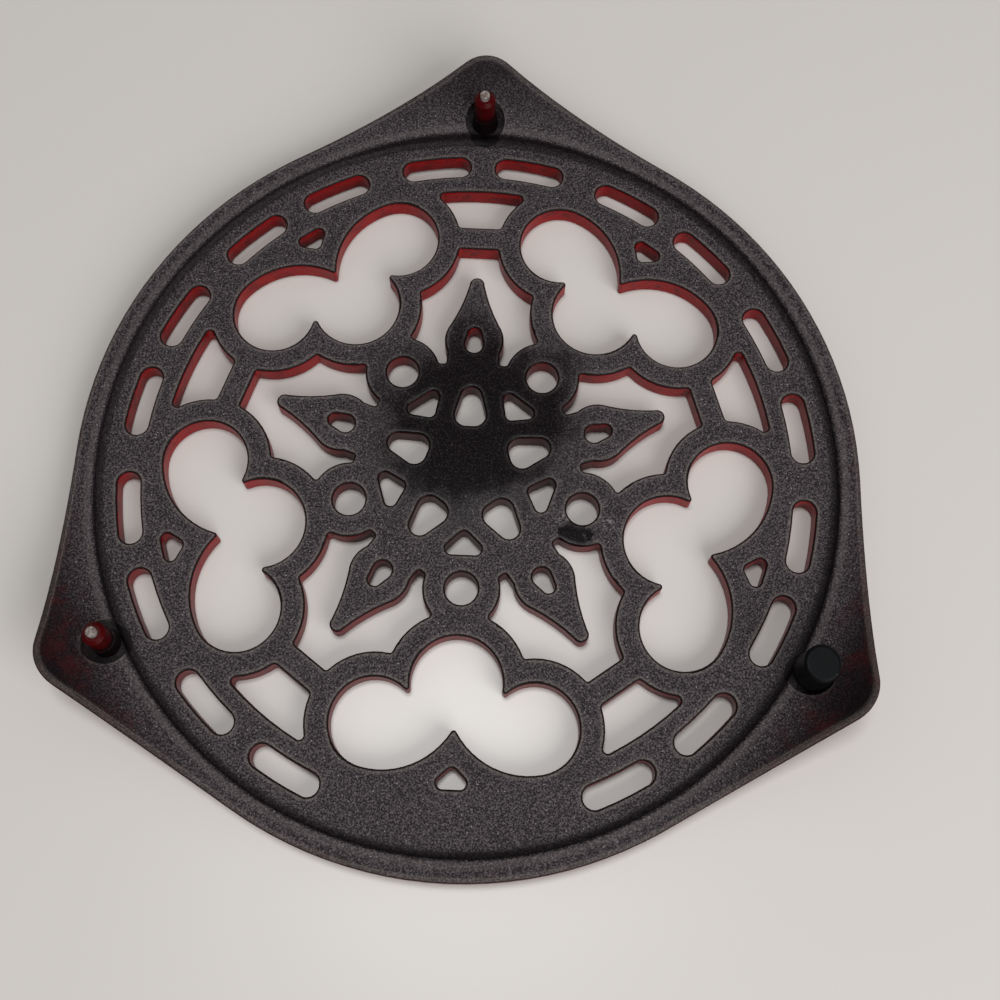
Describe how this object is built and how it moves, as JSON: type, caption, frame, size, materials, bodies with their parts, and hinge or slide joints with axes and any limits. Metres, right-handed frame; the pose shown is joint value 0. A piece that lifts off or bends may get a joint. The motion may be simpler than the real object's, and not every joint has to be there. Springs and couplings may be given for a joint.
{
  "type": "trivet",
  "caption": "Round enamelled cast-iron trivet with pierced rose-window tracery, upturned rim corners, pegs and a push-on rubber foot, shown upside down.",
  "frame": {"origin": "centre of the pierced disc on the flat pot face", "axes": "+Z out of the underside, towards the feet; +Y towards the peg at the top of the picture; +X to its right"},
  "size_m": [0.22, 0.2343, 0.0302],
  "materials": {
    "enamel": "matt black enamel, glossy red in the openings and on the pot side",
    "rubber": "satin black rubber"
  },
  "bodies": {
    "casting": {"trivet_casting": "enamel"},
    "foot": {"rubber_foot": "rubber"}
  },
  "joints": [
    {"name": "foot_pull_off", "type": "slide", "parent": "casting", "child": "foot", "axis": [0, 0, 1], "range_m": [0, 0.014]}
  ]
}
